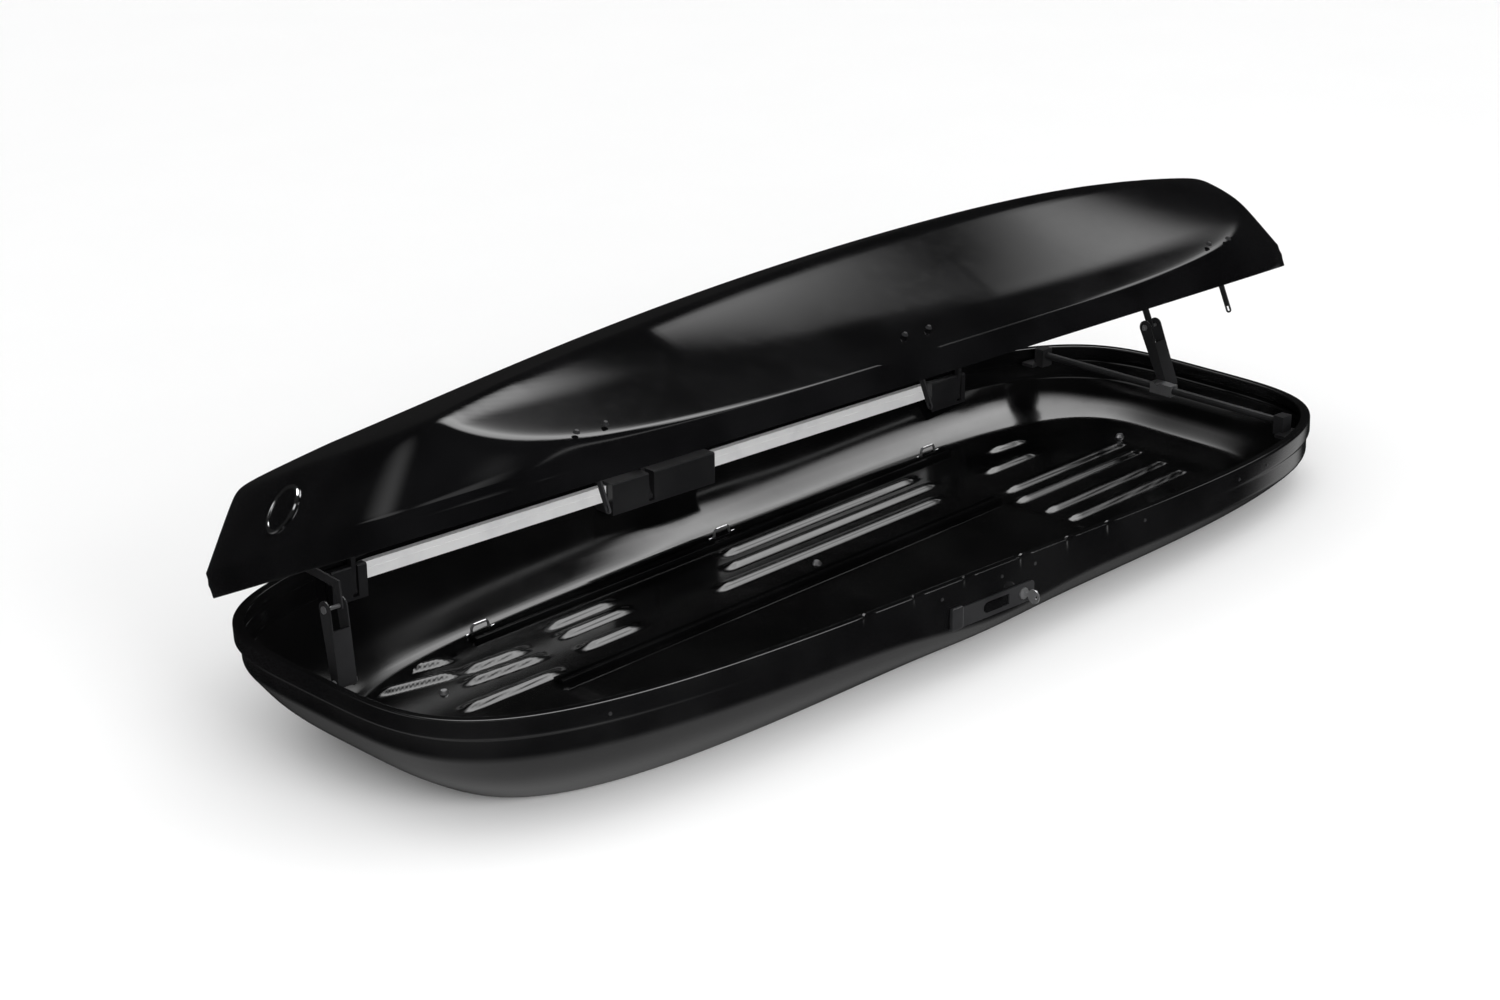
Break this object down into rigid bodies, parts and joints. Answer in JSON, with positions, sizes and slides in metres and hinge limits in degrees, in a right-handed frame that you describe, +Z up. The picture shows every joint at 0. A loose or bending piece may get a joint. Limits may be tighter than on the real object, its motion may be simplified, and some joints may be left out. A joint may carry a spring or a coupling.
{
  "type": "roof cargo box",
  "caption": "Long hard-shell luggage box with a rounded rectangular tub, a domed lid hinged on one long side, lid lifters, side rails and a key lock.",
  "frame": {"origin": "centre of the flat underside of the tub", "axes": "+X from the nose to the tail, +Y from the lock side to the hinge side, +Z up"},
  "size_m": [1.9526, 0.8385, 0.5591],
  "materials": {
    "gloss_black": "high-gloss black thermoformed sheet",
    "tub_black": "black thermoformed sheet, a little less glossy",
    "plastic_black": "black moulded plastic",
    "aluminium": "extruded, satin",
    "steel": "zinc plated",
    "black_steel": "black coated",
    "chrome": "bright"
  },
  "bodies": {
    "lid": {"badge": "chrome", "knuckle_centre": "black_steel", "knuckle_front": "black_steel", "knuckle_rear": "black_steel", "lid_bracket_front": "black_steel", "lid_bracket_rear": "black_steel", "lid_screw_centre_1": "steel", "lid_screw_centre_2": "steel", "lid_screw_front_1": "steel", "lid_screw_front_2": "steel", "lid_screw_rear_1": "steel", "lid_screw_rear_2": "steel", "lid_shell": "gloss_black", "striker_centre": "black_steel", "striker_front": "black_steel", "striker_rear": "black_steel"},
    "base": {"base_tub": "tub_black", "cross_tube": "black_steel", "floor_bolt_centre": "steel", "floor_bolt_front": "steel", "floor_bolt_rear": "steel", "floor_rail_far": "plastic_black", "floor_rail_near": "plastic_black", "hinge_pin_centre": "steel", "hinge_pin_front": "steel", "hinge_pin_rear": "steel", "hinge_unit_centre": "plastic_black", "hinge_unit_front": "plastic_black", "hinge_unit_rear": "plastic_black", "latch_unit_centre": "plastic_black", "latch_unit_front": "plastic_black", "latch_unit_rear": "plastic_black", "lifter_foot_front": "black_steel", "lifter_foot_pin_front": "steel", "lifter_foot_pin_rear": "steel", "lifter_foot_rear": "steel", "lock_cap": "plastic_black", "lock_plate": "plastic_black", "rail_far_front": "aluminium", "rail_far_rear": "aluminium", "rail_near_front": "aluminium", "rail_near_rear": "aluminium", "tie_down_loop_centre": "steel", "tie_down_loop_front": "steel", "tie_down_loop_rear": "steel", "tube_bracket_far": "plastic_black", "tube_bracket_near": "plastic_black"},
    "key": {"key": "steel"},
    "latch": {"latch_bar": "steel", "release_slider": "gloss_black"},
    "arm_front": {"lifter_arm_front": "black_steel", "lifter_knee_pin_front": "steel", "lifter_spring_front": "steel"},
    "arm_rear": {"lifter_arm_rear": "black_steel", "lifter_knee_pin_rear": "steel", "lifter_spring_rear": "steel"},
    "link_front": {"lifter_link_front": "black_steel"},
    "link_rear": {"lifter_link_rear": "black_steel"},
    "lock": {"lock_cylinder": "steel"}
  },
  "joints": [
    {"name": "lid_hinge", "type": "hinge", "parent": "base", "child": "lid", "pos_m": [-0.00262, 0.33949, 0.08605], "axis": [0.9992, 0, -0.041], "range_deg": [0, 24.7], "stiffness_Nm_per_rad": 20, "springref_deg": -114.59},
    {"name": "lifter_foot_front", "type": "hinge", "parent": "base", "child": "arm_front", "pos_m": [-0.9133, 0, 0.16142], "axis": [0.9992, 0, -0.041], "range_deg": [0, 42.49]},
    {"name": "lifter_knee_front", "type": "hinge", "parent": "arm_front", "child": "link_front", "pos_m": [-0.909, 0.01493, 0.26628], "axis": [0.9992, 0, -0.041], "range_deg": [-51.38, 0]},
    {"name": "lifter_foot_rear", "type": "hinge", "parent": "base", "child": "arm_rear", "pos_m": [0.85612, 0, 0.1109], "axis": [0.9992, 0, -0.041], "range_deg": [0, 47.18]},
    {"name": "lifter_knee_rear", "type": "hinge", "parent": "arm_rear", "child": "link_rear", "pos_m": [0.86005, 0.04482, 0.20688], "axis": [0.9992, 0, -0.041], "range_deg": [-61.55, 0]},
    {"name": "latch_slide", "type": "slide", "parent": "base", "child": "latch", "axis": [0.9992, 0, -0.041], "range_m": [0, 0.014]},
    {"name": "lock_turn", "type": "hinge", "parent": "base", "child": "lock", "pos_m": [0.03763, 0, 0.09141], "axis": [0, 1, 0], "range_deg": [0, 90]},
    {"name": "key_slide", "type": "slide", "parent": "lock", "child": "key", "axis": [0, -1, 0], "range_m": [0, 0.0105]}
  ],
  "couplings": [
    {"joint": "lifter_foot_front", "follows": "lid_hinge", "ratio": 1.7195},
    {"joint": "lifter_knee_front", "follows": "lid_hinge", "ratio": -2.0791},
    {"joint": "lifter_foot_rear", "follows": "lid_hinge", "ratio": 1.9093},
    {"joint": "lifter_knee_rear", "follows": "lid_hinge", "ratio": -2.4905}
  ]
}
